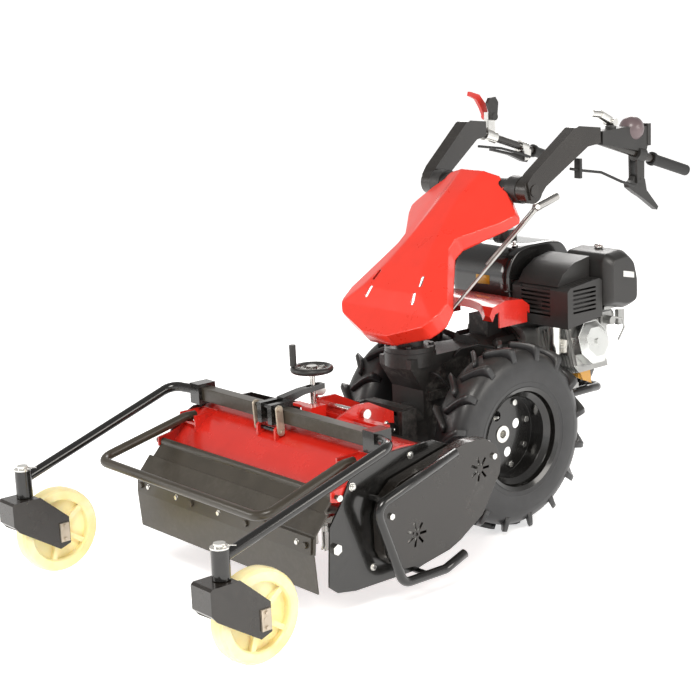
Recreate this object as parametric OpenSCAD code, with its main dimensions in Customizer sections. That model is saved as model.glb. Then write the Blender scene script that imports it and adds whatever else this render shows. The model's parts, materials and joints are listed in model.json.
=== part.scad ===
// Two-wheel walking tractor with a front flail mower.
// Z is up, the machine drives towards -Y and its left side is +X.
// Positions are written about a point on the floor under the drive axle.

/* [Wheels] */
// Overall diameter of a drive tyre, over its lugs
tyre_d = 558; // [540:2:570]
// Width of a drive tyre
tyre_w = 130; // [116:2:134]
// Distance between the two tyre centres
track = 408; // [404:2:416]
// Lugs on each shoulder of a tyre
lug_count = 16; // [12:1:20]

/* [Mower] */
// Distance between the mower's two side plates
deck_w = 800; // [780:5:815]
// Outer radius of the curved mower shell
shell_r = 230; // [226:1:236]
// Height of the flail rotor's axis
rotor_z = 180; // [176:1:186]
// Flails along each of the rotor's four rows
flail_count = 11; // [8:1:12]

/* [Casters] */
// Diameter of a caster wheel
caster_d = 240; // [230:2:244]
// Distance between the two caster stems
caster_track = 932; // [926:2:950]
// Spokes in a caster wheel
caster_spokes = 5; // [4:1:6]

/* [Handlebar] */
// Height of the handlebar's tilting joint
handle_z = 986; // [980:1:992]
// Length of a handlebar tube behind its arm
bar_l = 415; // [400:5:425]
// Splay of each handlebar arm, in degrees
arm_splay = 8; // [6:1:9]

/* [Engine] */
// Height of the crankshaft
crank_z = 445; // [440:1:448]
// Upward tilt of the cylinder, in degrees
cyl_tilt = 15; // [12:0.5:15.5]
// Number of cooling fins on the cylinder
fin_count = 9; // [6:1:10]

/* [Hidden] */
$fn = 48;
axle_z = tyre_d / 2;
deck_h = deck_w / 2;
cast_x = caster_track / 2;
front_y = -1283;
rear_y = 755;
mid_y = (front_y + rear_y) / 2;
rot_y = -585;
drv_y = -351;
drv_z = 305;
bar_y = -660;
bar_z = 440;
piv_y = -690;
piv_z = 400;
stem_y = -1222;
wheel_y = -1131;
hinge_y = -809;
hinge_z = 323;
post_y = -190;
knuckle_y = 109;
arm_x = 205;
gap = 0.3;

// ---- helpers -------------------------------------------------------------

// Cylinder along X from x0 to x1 at (y, z).
module xcyl(x0, x1, y, z, r) {
  translate([min(x0, x1), y, z]) rotate([0, 90, 0]) cylinder(h = abs(x1 - x0), r = r);
}

// Cylinder along Y from y0 to y1 at (x, z).
module ycyl(y0, y1, x, z, r) {
  translate([x, max(y0, y1), z]) rotate([90, 0, 0]) cylinder(h = abs(y1 - y0), r = r);
}

// Cylinder along Z from z0 to z1 at (x, y).
module zcyl(z0, z1, x, y, r) {
  translate([x, y, min(z0, z1)]) cylinder(h = abs(z1 - z0), r = r);
}

// Box between two corners.
module box(a, b) {
  translate([min(a.x, b.x), min(a.y, b.y), min(a.z, b.z)])
    cube([abs(b.x - a.x), abs(b.y - a.y), abs(b.z - a.z)]);
}

// Turns local +Z to point from p to q, with its foot at p.
module along(p, q) {
  d = q - p;
  translate(p) rotate([0, acos(d.z / norm(d)), atan2(d.y, d.x)]) children();
}

// Round bar from p to q.
module rod(p, q, r) {
  along(p, q) cylinder(h = norm(q - p), r = r);
}

function unit(v) = v / norm(v);

// The bend of a bar at q, coming from p and leaving to s: [turn, centre, outward, onward].
function bend_at(p, q, s, bend) =
  let (a = unit(p - q), b = unit(s - q), inside = acos(a * b),
    centre = q + unit(a + b) * bend / sin(inside / 2))
  [180 - inside, centre, unit(q + a * bend / tan(inside / 2) - centre), -a];

// How much of a straight length the bend at corner i takes away; none at the path's ends.
function taken(p, i, bend, r) = i == 0 || i == len(p) - 1 ? 0 :
  let (e = bend_at(p[i - 1], p[i], p[i + 1], bend)) bend * tan(e[0] / 2)
    - min(sqrt(0.03 * r * bend), bend * e[0] * PI / 720);

// Round bar through a list of points, bent to a radius at each corner. An elbow is a
// touch thicker than the bar and the straight lengths reach a little way into it.
module bent_rod(points, r, bend) {
  for (i = [0 : len(points) - 2]) {
    u = unit(points[i + 1] - points[i]);
    rod(points[i] + u * taken(points, i, bend, r),
      points[i + 1] - u * taken(points, i + 1, bend, r), r);
  }
  for (i = [1 : 1 : len(points) - 2]) {
    e = bend_at(points[i - 1], points[i], points[i + 1], bend);
    axis = cross(e[2], e[3]);
    multmatrix([[e[2].x, e[3].x, axis.x, e[1].x], [e[2].y, e[3].y, axis.y, e[1].y],
      [e[2].z, e[3].z, axis.z, e[1].z], [0, 0, 0, 1]])
      rotate_extrude(angle = e[0]) translate([bend, 0]) circle(r * 1.03);
  }
}

// Extrudes a side view, drawn as (y, z), from x0 to x1.
module side(x0, x1) {
  translate([min(x0, x1), 0, 0]) rotate([90, 0, 90])
    linear_extrude(abs(x1 - x0)) children();
}

// Extrudes a front view, drawn as (x, z), from y0 to y1.
module front(y0, y1) {
  translate([0, max(y0, y1), 0]) rotate([90, 0, 0])
    linear_extrude(abs(y1 - y0)) children();
}

// Rectangle with rounded corners between two points.
module round_rect(a, b, r) {
  translate([a.x + r, a.y]) square([b.x - a.x - 2 * r, b.y - a.y]);
  translate([a.x, a.y + r]) square([b.x - a.x, b.y - a.y - 2 * r]);
  for (x = [a.x + r, b.x - r], y = [a.y + r, b.y - r]) translate([x, y]) circle(r);
}

// Hexagon-headed bolt, its head outward along +Z.
module bolt(r, head, length) {
  translate([0, 0, -length]) cylinder(h = length, r = r);
  cylinder(h = r * 1.3, r = head, $fn = 6);
}

// Child and its copy on the other side of the machine.
module both() {
  children();
  mirror([1, 0, 0]) children();
}

// ---- drive wheels --------------------------------------------------------

module tyre_shape() {
  cw = tyre_w / 2;
  rb = axle_z - 136;
  rc = axle_z - 21;
  rotate([0, 90, 0]) rotate_extrude($fn = 96) polygon([[rb, -cw + 14], [rb + 14, -cw + 4],
    [rb + 50, -cw], [rc - 40, -cw + 2], [rc - 14, -cw + 10], [rc, -cw + 28], [rc + 3, 0],
    [rc, cw - 28], [rc - 14, cw - 10], [rc - 40, cw - 2], [rb + 50, cw],
    [rb + 14, cw - 4], [rb, cw - 14], [rb + 12, cw - 17], [rc - 30, cw - 14],
    [rc - 13, cw - 32], [rc - 12, 0], [rc - 13, -cw + 32], [rc - 30, -cw + 14],
    [rb + 12, -cw + 17]]);
  intersection() {
    rotate([0, 90, 0]) cylinder(h = tyre_w - 2, r = axle_z, center = true, $fn = 96);
    for (i = [0 : lug_count - 1], s = [-1, 1])
      rotate([(i + (s > 0 ? 0.5 : 0)) * 360 / lug_count, 0, 0])
        translate([s * tyre_w * 0.25, 0, rc + 5]) rotate([0, 0, s * 42])
          cube([tyre_w * 0.72, 17, 50], center = true);
  }
}

module rim_shape(s) {
  rb = axle_z - 136;
  rotate([0, 90, 0]) rotate_extrude($fn = 96) polygon([[rb + 11, -62.5],
    [rb - 2, -55.5], [rb - 6, -40], [rb - 22, -28], [rb - 22, 26], [rb - 6, 40],
    [rb - 2, 55.5], [rb + 11, 62.5], [rb + 11, 59.5], [rb - 0.4, 51.4], [rb - 0.4, 30],
    [rb - 18, 22], [rb - 18, -24], [rb - 0.4, -34], [rb - 0.4, -51.4], [rb + 11, -59.5]]);
  difference() {
    xcyl(-28 * s, -23 * s, 0, 0, rb - 21);
    xcyl(-40 * s, 0, 0, 0, 26);
    for (a = [0 : 90 : 270]) rotate([a + 20, 0, 0]) xcyl(-40 * s, 0, 62, 0, 15);
    for (a = [0 : 45 : 315]) rotate([a + 61, 0, 0]) xcyl(-40 * s, 0, 100, 0, 5.2);
  }
}

module axle_shape(s) {
  difference() {
    union() {
      xcyl(3 * s, 176 * s, 0, 0, 20);
      xcyl(132 * s, 146 * s, 0, 0, 48);
      xcyl(146 * s, 184 * s, 0, 0, 25.7);
      xcyl(164 * s, 175.8 * s, 0, 0, 44);
    }
    xcyl(150 * s, 190 * s, 0, 0, 12);
  }
  for (a = [0 : 45 : 315]) rotate([a + 61, 0, 0]) translate([181.2 * s, 100, 0])
    rotate([0, 90 * s, 0]) bolt(5, 10, 8);
}

module tyre_left() {
  color("#26282a") translate([track / 2, 0, axle_z]) tyre_shape();
}

module tyre_right() {
  color("#26282a") translate([-track / 2, 0, axle_z]) tyre_shape();
}

module rim_left() {
  color("#151515") translate([track / 2, 0, axle_z]) rim_shape(1);
}

module rim_right() {
  color("#151515") translate([-track / 2, 0, axle_z]) rim_shape(-1);
}

module axle_left() {
  color("#b8b8b4") translate([0, 0, axle_z]) axle_shape(1);
}

module axle_right() {
  color("#b8b8b4") translate([0, 0, axle_z]) axle_shape(-1);
}

// ---- gearbox, clutch housing and hitch -----------------------------------

module gearbox_housing() {
  color("#1c1c1b") difference() {
    union() {
      xcyl(-100, 100, 0, axle_z, 84);
      xcyl(-129, 129, 0, axle_z, 46);
      side(-68, 68) polygon([[-205, 240], [-150, 205], [60, 215], [66, 520], [-60, 528],
        [-250, 528], [-250, 500], [-205, 430]]);
      side(-80, 80) polygon([[-190, 400], [40, 400], [40, 425], [-190, 425]]);
      zcyl(500, 541, 0, post_y, 76);
      ycyl(-262, -200, 0, drv_z, 78);
      ycyl(40, 74.7, 0, crank_z, 100);
      // case round the input gear and the take-off gear
      ycyl(-72, -26, 0, drv_z, 106);
      ycyl(-72, -26, 0, crank_z, 66);
      for (x = [-72, 60]) box([x, -120, 230], [x + 12, -100, 500]);
      for (x = [-72, 60]) box([x, -20, 330], [x + 12, 0, 500]);
    }
    box([-58, -188, 232], [58, 48, 505]);
    ycyl(-66, -32, 0, drv_z, 98);
    ycyl(-66, -32, 0, crank_z, 58);
    xcyl(-140, 140, 0, axle_z, 20.05);
    ycyl(-270, -180, 0, drv_z, 11.06);
    ycyl(40, 80, 0, crank_z, 18.06);
    zcyl(495, 545, 0, post_y, 22);
  }
}

module bell_housing() {
  color("#232322") difference() {
    union() {
      translate([0, 75, crank_z]) rotate([-90, 0, 0]) cylinder(h = 90, r1 = 96, r2 = 112);
      ycyl(153, 165, 0, crank_z, 130);
      for (a = [45 : 90 : 315]) translate([0, 0, crank_z]) rotate([0, a, 0])
        box([104, 77, -9], [126, 160, 9]);
      box([-40, 88, 535], [40, 147, 600]);
    }
    translate([0, 83, crank_z]) rotate([-90, 0, 0]) cylinder(h = 90, r1 = 86, r2 = 98);
    ycyl(70, 90, 0, crank_z, 24);
  }
}

module hitch_coupler() {
  color("#2a2a29") {
    difference() {
      ycyl(-290, -262.3, 0, drv_z, 92);
      ycyl(-295, -260, 0, drv_z, 30);
      for (a = [0 : 60 : 300]) translate([0, 0, drv_z]) rotate([0, a, 0])
        ycyl(-295, -281, 78, 0, 6.2);
    }
    for (s = [-1, 1]) box([s * 92 - 8, -319, 300], [s * 92 + 8, -262.5, 395]);
    box([-84, -300, 384], [84, -262.5, 398]);
  }
}

module control_cables() {
  color("#111111") {
    bent_rod([[73, -84, 512], [84, -70, 534], [104, -20, 540], [112, 50, 520],
      [112, 92, 504]], 4, 18);
    bent_rod([[-74, -97, 505], [-92, -86, 496], [-100, -60, 460], [-98, -34, 410],
      [-84, -32, 388]], 4, 18);
    bent_rod([[73, -178, 482], [96, -172, 476], [104, -150, 450], [98, -80, 396],
      [86, -62, 386]], 4, 18);
  }
}

// ---- engine --------------------------------------------------------------

module tilted() {
  translate([0, 291, crank_z]) rotate([0, -cyl_tilt, 0]) children();
}

module engine_block() {
  color("#8f9294") difference() {
    union() {
      front(165.3, 395) round_rect([-128, 350], [122, 560], 34);
      box([-132, 180, 340], [132, 385, 356]);
      tilted() box([90, -72, -70], [150, 72, 74]);
      tilted() box([140, -60, -58], [262, 60, 56]);
      tilted() for (i = [0 : fin_count - 1]) box([150 + i * 12.5, -66, -80],
        [154 + i * 12.5, 78, 64]);
    }
    ycyl(185, 378, 0, crank_z, 84);
    ycyl(160, 400, 0, crank_z, 18.06);
    tilted() rotate([0, 90, 0]) translate([0, 0, 60]) cylinder(h = 196, r = 44);
    both() xcyl(136, 272, 0, axle_z, axle_z + 6);
  }
}

module valve_cover() {
  color("#c9ccca") tilted() {
    difference() {
      union() {
        translate([262.3, 0, 0]) rotate([0, 90, 0]) rotate([0, 0, 22.5])
          cylinder(h = 30, r = 68, $fn = 8);
        translate([292, 0, 0]) rotate([0, 90, 0]) rotate([0, 0, 22.5])
          cylinder(h = 14, r1 = 66, r2 = 46, $fn = 8);
      }
      translate([262, 0, 0]) rotate([0, 90, 0]) cylinder(h = 36, r = 44);
    }
    translate([306.3, 0, 0]) rotate([0, 90, 0]) bolt(5, 10, 0.2);
  }
}

module muffler_guard() {
  color("#141414") {
    difference() {
      side(52, 276) guard_outline(0);
      side(56, 272) guard_outline(4);
      for (z = [604 : 13 : 682]) box([88, 180, z], [206, 190, z + 6]);
      for (z = [616 : 13 : 681]) box([268, 208, z], [280, 306, z + 6]);
      for (x = [206 : 12 : 254]) box([x, 214, 690], [x + 5, 310, 712]);
    }
    // crown of the guard
    side(70, 230) polygon([[190, 694], [214, 728], [262, 756], [330, 768], [330, 760],
      [264, 748], [220, 721], [202, 695]]);
    side(70, 76) polygon([[196, 694], [214, 728], [262, 756], [330, 768], [330, 704]]);
    side(224, 230) polygon([[196, 694], [214, 728], [262, 756], [330, 768], [330, 704]]);
    // silencer body
    front(214, 306) round_rect([72, 598], [256, 684], 30);
    box([150, 187, 630], [170, 215, 650]);
  }
}

module guard_outline(t) {
  polygon([[184 + t, 574 + t], [334 - t, 592 + t], [334 - t, 700 - t], [322 - t, 708 - t],
    [196 + t, 694 - t], [184 + t, 684 - t]]);
}

module exhaust_pipe() {
  color("#d6d2c8") {
    zcyl(490, 573.7, 205, 203, 19);
    ycyl(203, 224, 205, 508, 15);
    box([172, 219.7, 484], [238, 224.7, 532]);
  }
}

module air_cleaner() {
  color("#202120") {
    difference() {
      union() {
        side(120, 292) polygon([[338, 640], [338, 754], [352, 776], [420, 784],
          [458, 754], [476, 690], [476, 612], [430, 600], [380, 612]]);
        side(292, 304) polygon([[350, 640], [350, 722], [360, 740], [418, 745],
          [446, 724], [462, 684], [462, 622], [428, 612], [384, 620]]);
      }
      box([126, 346, 646], [286, 452, 748]);
    }
    xcyl(200, 212, 470, 596, 4);
    zcyl(780, 790, 205, 400, 11);
  }
}

module fuel_tank() {
  color("#1d1c1b") difference() {
    side(-196, 48) polygon([[172, 634], [166, 650], [166, 722], [184, 762], [214, 786],
      [262, 796], [370, 796], [420, 784], [446, 752], [452, 700], [452, 650], [436, 634]]);
    side(-190, 42) polygon([[178, 640], [172, 654], [172, 720], [190, 758], [217, 780],
      [264, 790], [368, 790], [416, 778], [440, 748], [446, 700], [446, 652], [432, 640]]);
    zcyl(785, 800, -110, 320, 24);
  }
}

module fuel_cap() {
  color("#161616") {
    zcyl(796.3, 822, -110, 320, 36);
    zcyl(782, 796.5, -110, 320, 23.4);
    for (a = [0 : 30 : 330]) rotate_about([-110, 320], a) box([-78, 317, 798], [-72, 323, 820]);
  }
}

// Turns a child about a vertical line through c.
module rotate_about(c, a) {
  translate([c.x, c.y, 0]) rotate([0, 0, a]) translate([-c.x, -c.y, 0]) children();
}

module recoil_cover() {
  color("#1b1b1b") difference() {
    union() {
      ycyl(395.3, 440, 0, crank_z, 158);
      translate([0, 440, crank_z]) rotate([-90, 0, 0]) cylinder(h = 42, r1 = 140, r2 = 112);
      box([-160, 396, 500], [120, 436, 632]);
      box([-178, 442, 480], [-120, 474, 520]);
    }
    ycyl(395, 433, 0, crank_z, 150);
    ycyl(430, 474, 0, crank_z, 104);
    box([-152, 395, 500], [112, 428, 610]);
    for (a = [0 : 30 : 330]) translate([0, 0, crank_z]) rotate([0, a, 0])
      box([44, 470, -5], [92, 490, 5]);
    box([-182, 452, 494], [-100, 464, 506]);
  }
}

module starter_grip() {
  color("#101010") {
    box([-196, 446, 484], [-179, 470, 516]);
    xcyl(-179.5, -128, 458, 500, 3);
    xcyl(-204, -196, 458, 500, 16);
  }
}

module carburettor() {
  color("#9a9c9c") {
    box([176, 372, 548], [236, 420, 590]);
    zcyl(508, 548, 206, 400, 22);
    xcyl(236, 262, 396, 566, 13);
    ycyl(420, 446, 206, 572, 17);
    bent_rod([[250, 396, 576], [262, 440, 566], [240, 474, 530], [226, 462, 490]], 3, 10);
    box([222, 452, 540], [236, 480, 586]);
  }
}

module oil_plug() {
  color("#c07a18") {
    xcyl(122.3, 160, 366, 388, 13);
    side(156, 168) polygon([[350, 404], [398, 404], [404, 356], [384, 366], [366, 372]]);
  }
}

module engine_shroud() {
  color("#c8140c") difference() {
    union() {
      side(-145, 145) polygon([[-6, 626], [8, 652], [60, 664], [130, 658], [160, 636],
        [160, 612], [130, 634], [60, 640], [18, 630], [6, 608]]);
      for (s = [-1, 1]) box([s * 139, 34, 586], [s * 145, 150, 645]);
    }
    zcyl(580, 690, 0, post_y, 222);
  }
}

module rear_guard_bar() {
  color("#131313") {
    bent_rod([[-124, 178, 324], [-124, 440, 324], [-110, 512, 316], [110, 512, 316],
      [124, 440, 324], [124, 178, 324]], 13, 40);
    for (s = [-1, 1], y = [190, 350])
      box([s * 124 - 8, y, 324], [s * 124 + 8, y + 24, 339.8]);
  }
}

module crankshaft() {
  color("#c4c4c0") {
    ycyl(-62, 470, 0, crank_z, 18);
    for (y = [212, 300]) front(y, y + 20) translate([0, crank_z]) crank_web();
    ycyl(231, 301, 0, crank_z + 38, 17);
    ycyl(398, 424, 0, crank_z, 140);
    ycyl(438, 462, 0, crank_z, 70);
    ycyl(100, 132, 0, crank_z, 76);
    front(-58, -40) translate([0, crank_z]) gear(25, 4);
  }
}

module crank_web() {
  difference() {
    circle(76);
    translate([-90, 10]) square([48, 90]);
    translate([42, 10]) square([48, 90]);
  }
}

// Spur gear with n teeth; thin straight teeth leave backlash.
module gear(n, m) {
  rp = n * m / 2;
  circle(rp - 1.2 * m, $fn = 96);
  for (i = [0 : n - 1]) rotate(i * 360 / n)
    polygon([[-0.62 * m, rp - 1.6 * m], [0.62 * m, rp - 1.6 * m], [0.5 * m, rp],
      [0.3 * m, rp + 0.8 * m], [-0.3 * m, rp + 0.8 * m], [-0.5 * m, rp]]);
}

// ---- mower ---------------------------------------------------------------

// Ring sector in the side view between two angles about the rotor.
module shell_arc(r1, r2, a0, a1, step = 6) {
  n = ceil((a1 - a0) / step);
  polygon(concat(
    [for (i = [0 : n]) let (a = a0 + (a1 - a0) * i / n)
      [rot_y + r1 * cos(a), rotor_z + r1 * sin(a)]],
    [for (i = [n : -1 : 0]) let (a = a0 + (a1 - a0) * i / n)
      [rot_y + r2 * cos(a), rotor_z + r2 * sin(a)]]));
}

module mower_housing() {
  color("#c8140c") difference() {
    union() {
      side(-deck_h + 6.3, deck_h - 6.3) intersection() {
        difference() {
          translate([rot_y, rotor_z]) circle(shell_r, $fn = 160);
          translate([rot_y, rotor_z]) circle(shell_r - 4, $fn = 160);
        }
        polygon([[rot_y, rotor_z], [rot_y + 300, rotor_z - 60], [rot_y + 300, 450],
          [rot_y - 240, 450], [rot_y - 300, rotor_z + 160]]);
      }
      // side cheeks that carry the front hinge rod
      for (s = [-1, 1]) side(s * (deck_h - 12), s * (deck_h - 6.4)) polygon([
        [rot_y - 190, 300], [hinge_y - 14, hinge_z - 12], [hinge_y - 14, hinge_z + 14],
        [-775, 345], [rot_y - 150, 360]]);
      // folded brackets that hold the bumper
      for (s = [-1, 1]) {
        box([s * 316, -742, 368], [s * 393.6, -660, 374.7]);
        box([s * 316, -742, 350], [s * 322, -620, 396]);
        box([s * 388, -742, 350], [s * 393.6, -620, 396]);
        box([s * 316, -664, 371], [s * 393.6, -658, 398]);
      }
      // hitch frame
      for (s = [-1, 1]) side(s * 70, s * 78) polygon([[-560, 380], [-545, 412], [-470, 440],
        [-420, 440], [-330, 396], [-330, 352], [-400, 300]]);
      for (s = [-1, 1]) box([s * 78, -478, 396], [s * 200, -452, 404]);
      box([-78, -470, 392], [78, -455, 400]);
      // screw foot of the height adjuster and the two pivot lugs
      box([-52, -560, 394], [-8, -506, 436]);
      for (x = [-72, 8]) side(x, x + 8) polygon([[piv_y - 16, piv_z - 30],
        [piv_y - 16, piv_z + 8], [piv_y - 8, piv_z + 15], [piv_y + 8, piv_z + 15],
        [piv_y + 24, piv_z - 2], [piv_y + 50, piv_z - 10]]);
    }
    xcyl(-420, 420, hinge_y, hinge_z, 6.05);
    xcyl(-90, 30, piv_y, piv_z, 6.05);
    xcyl(-90, 90, drv_y, drv_z, 61);
    zcyl(412, 440, -30, -533, 8.06);
    xcyl(-90, 90, -440, 412, 8.2);
  }
}

module side_plates() {
  color("#161616") difference() {
    for (s = [-1, 1]) side(s * (deck_h - 6), s * deck_h) difference() {
      polygon([[-848, 92], [-838, 250], [-800, 300], [-760, 372], [-690, 404],
        [-480, 404], [-400, 372], [-300, 340], [-290, 262], [-345, 150], [-420, 92],
        [-560, 60], [-760, 60], [-820, 70]]);
      translate([rot_y, rotor_z]) circle(31);
      translate([drv_y, drv_z]) circle(30.3);
    }
    xcyl(-420, 420, hinge_y, hinge_z, 6.05);
  }
  // bearing housings of the rotor
  color("#161616") for (s = [-1, 1]) difference() {
    union() {
      xcyl(s * (deck_h - 20), s * (deck_h - 6.3), rot_y, rotor_z, 52);
      xcyl(s * (deck_h - 7), s * (deck_h + 10), rot_y, rotor_z, 30.7);
    }
    xcyl(s * 300, s * 420, rot_y, rotor_z, 18.06);
  }
}

module mower_gearbox() {
  color("#202020") difference() {
    union() {
      xcyl(-66, 66, drv_y, drv_z, 60);
      ycyl(-322, -290.3, 0, drv_z, 58);
      xcyl(60, deck_h + 6, drv_y, drv_z, 30);
      xcyl(-deck_h + 6.3, -60, drv_y, drv_z, 20);
      box([-66, -400, 352], [66, -320, 372]);
    }
    xcyl(-50, 50, drv_y, drv_z, 50);
    xcyl(-60, deck_h + 10, drv_y, drv_z, 12.06);
    ycyl(-330, -280, 0, drv_z, 11.06);
  }
}

module cross_shaft() {
  color("#9c9c98") {
    xcyl(-58, 431, drv_y, drv_z, 12);
    translate([-44, drv_y, drv_z]) rotate([0, 90, 0]) cylinder(h = 16, r1 = 46, r2 = 30);
    pulley(drv_y, drv_z, 64);
  }
}

// Flat-belt pulley at (y, z), its groove round the belt.
module pulley(y, z, r) {
  translate([412, y, z]) rotate([0, 90, 0]) rotate_extrude($fn = 72)
    polygon([[11, 0], [r, 0], [r, 3.5], [r - 13.3, 3.5], [r - 13.3, 14.5], [r, 14.5],
      [r, 18], [11, 18]]);
}

module pto_shaft() {
  color("#9c9c98") {
    ycyl(-336, -36, 0, drv_z, 11);
    translate([0, -322, drv_z]) rotate([90, 0, 0]) cylinder(h = 14, r1 = 26, r2 = 14);
    front(-58, -40) translate([0, drv_z]) gear(45, 4);
  }
}

module belt_cover() {
  color("#1a1a19") {
    difference() {
      side(deck_h + 6, deck_h + 45) cover_outline(0);
      side(deck_h, deck_h + 41) cover_outline(5);
      xcyl(380, 460, rot_y, rotor_z, 5);
      for (c = [[rot_y, rotor_z], [drv_y, drv_z]]) for (a = [0 : 51.43 : 359])
        translate([0, c.x, c.y]) rotate([a, 0, 0])
          box([deck_h + 38, 11, -3], [deck_h + 50, 34, 3.5]);
    }
    // stand-off posts to the side plate
    for (p = [[-672, 250], [-465, 140], [-412, 366]])
      xcyl(deck_h + 0.3, deck_h + 41.5, p.x, p.y, 7);
  }
}

module cover_outline(inset) {
  i = inset;
  polygon([[-684 + i, 130 + i], [-698 + i, 160], [-700 + i, 250], [-682 + i, 300 - i],
    [-640, 334 - i], [-400, 388 - i], [-330, 386 - i], [-290 - i, 358 - i],
    [-272 - i, 316], [-276 - i, 280], [-345 - i, 176 + i], [-430 - i, 124 + i],
    [-470, 108 + i], [-560, 92 + i], [-640, 98 + i]]);
}

module drive_belt() {
  color("#101010") difference() {
    side(416, 426) belt_loop(0);
    side(410, 430) belt_loop(7);
  }
}

module belt_loop(inset) {
  ra = 58 - inset;
  rb = 52 - inset;
  d = [drv_y - rot_y, drv_z - rotor_z];
  t = atan2(d.y, d.x);
  k = acos((ra - rb) / norm(d));
  translate([drv_y, drv_z]) circle(ra, $fn = 72);
  translate([rot_y, rotor_z]) circle(rb, $fn = 72);
  polygon([[drv_y + ra * cos(t + 180 - k), drv_z + ra * sin(t + 180 - k)],
    [rot_y + rb * cos(t + 180 - k), rotor_z + rb * sin(t + 180 - k)],
    [rot_y + rb * cos(t + 180 + k), rotor_z + rb * sin(t + 180 + k)],
    [drv_y + ra * cos(t + 180 + k), drv_z + ra * sin(t + 180 + k)]]);
}

module skid_guard() {
  color("#121212") {
    x = deck_h + 60;
    bent_rod([[x, -452, 377], [x, -736, 290], [x, -650, 66], [x, -500, 66],
      [x, -428, 92]], 13, 34);
    for (p = [[-702, 300.4], [-560, 66]]) xcyl(x - 59.7, x - 2, p.x, p.y, 8);
    // runner on the other side
    bent_rod([[-x + 36, -700, 130], [-x + 36, -650, 66], [-x + 36, -500, 66],
      [-x + 36, -428, 92]], 13, 34);
    for (y = [-600, -540]) xcyl(-x + 38, -deck_h - 0.3, y, 66, 8);
  }
}

module bumper() {
  color("#171716") {
    bent_rod([[-355, -713, 388], [-357, -750, 388], [-377, -1031, 316], [377, -1031, 316],
      [357, -750, 388], [355, -713, 388]], 13, 40);
  }
}

module rotor_shaft() {
  color("#3a3a38") {
    xcyl(-deck_h + 28, deck_h - 28, rot_y, rotor_z, 48);
    xcyl(-deck_h - 8, 431, rot_y, rotor_z, 18);
    for (i = [0 : flail_count - 1], a = [0 : 90 : 270]) translate([flail_x(i, a), rot_y,
      rotor_z]) rotate([a, 0, 0]) box([-4, -12, 40], [4, 12, 78]);
    pulley(rot_y, rotor_z, 58);
  }
}

function flail_x(i, a) = (i - (flail_count - 1) / 2) * (deck_w - 110) / flail_count
  + (a / 90 - 1.5) * 12;

module flails() {
  color("#77787a") for (i = [0 : flail_count - 1], a = [0 : 90 : 270])
    translate([flail_x(i, a), rot_y, rotor_z]) rotate([a, 0, 0]) {
      for (s = [-1, 1]) side(s * 4.3, s * 10) polygon([[-11, 60], [11, 60], [11, 118],
        [16, 132], [-11, 132]]);
    }
}

module front_guard() {
  color("#3b3a30") {
    side(-deck_h + 14, deck_h - 14) polygon([[hinge_y - 9, hinge_z - 6],
      [hinge_y - 2, hinge_z + 9], [hinge_y + 4, hinge_z + 8], [hinge_y - 4, hinge_z - 12],
      [-884, 240], [-889, 190], [-893, 190], [-889, 242]]);
    side(-deck_h - 3, deck_h + 3) polygon([[-843, 285], [-884, 240], [-889, 190], [-893, 190],
      [-889, 242], [-848, 288]]);
    difference() {
      xcyl(-deck_h + 14, deck_h - 14, hinge_y, hinge_z, 10);
      xcyl(-deck_h, deck_h, hinge_y, hinge_z, 5.9);
    }
    xcyl(-deck_h - 12, deck_h + 12, hinge_y, hinge_z, 6);
  }
}

module guard_flap() {
  color("#2c2c28") {
    side(-deck_h - 3, deck_h + 3) polygon([[-893.3, 232], [-896.5, 190], [-888, 86], [-884, 86],
      [-892.2, 188], [-893.4, 190], [-889.6, 236]]);
    side(-deck_h + 4, deck_h - 4) polygon([[-897, 192], [-901, 192], [-897, 236],
      [-893.5, 236]]);
    for (x = [-375 : 250 : 375]) translate([x, -900, 214]) rotate([90, 0, 0])
      bolt(4, 9, 2);
  }
}

// ---- height adjustment and casters ---------------------------------------

module square_bar() {
  color("#2b2a25") front_bar();
}

module front_bar() {
  difference() {
    box([-deck_h + 2, bar_y - 19, bar_z - 19], [deck_h - 2, bar_y + 19, bar_z + 19]);
    box([-deck_h, bar_y - 15, bar_z - 15], [deck_h, bar_y + 15, bar_z + 15]);
  }
}

module height_arm() {
  color("#181818") {
    difference() {
      union() {
        // clamp blocks round the square bar
        for (x = [-62, -16]) box([x, bar_y - 46, bar_z - 22], [x + 18, bar_y + 30, bar_z + 34]);
        // channel that reaches back to the screw
        side(-44, -16) polygon([[bar_y + 10, bar_z + 22], [bar_y + 10, bar_z + 42],
          [-580, 492], [-500, 496], [-500, 482], [-576, 476], [bar_y + 28, bar_z + 22]]);
      }
      box([-80, bar_y - 19.3, bar_z - 19.3], [20, bar_y + 19.3, bar_z + 19.3]);
      translate([-30, 0, 0]) slot_z(470, 530, -546, -520, 10.5);
    }
    // strap links with the pivot pin through their lower ends
    for (x = [-86, 18]) side(x, x + 6) strap([piv_y, piv_z], [bar_y - 34, bar_z + 24], 11);
    xcyl(-92, 30, piv_y, piv_z, 6);
    xcyl(-90, 28, bar_y - 34, bar_z + 24, 6);
  }
}

// Flat link in the side view with round ends at p and q.
module strap(p, q, r) {
  d = (q - p) / norm(q - p) * r;
  translate(p) circle(r);
  translate(q) circle(r);
  polygon([p + [-d.y, d.x], q + [-d.y, d.x], q + [d.y, -d.x], p + [d.y, -d.x]]);
}

// Vertical slot along Y between y0 and y1.
module slot_z(z0, z1, y0, y1, r) {
  zcyl(z0, z1, 0, y0, r);
  zcyl(z0, z1, 0, y1, r);
  box([-r, y0, z0], [r, y1, z1]);
}

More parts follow.
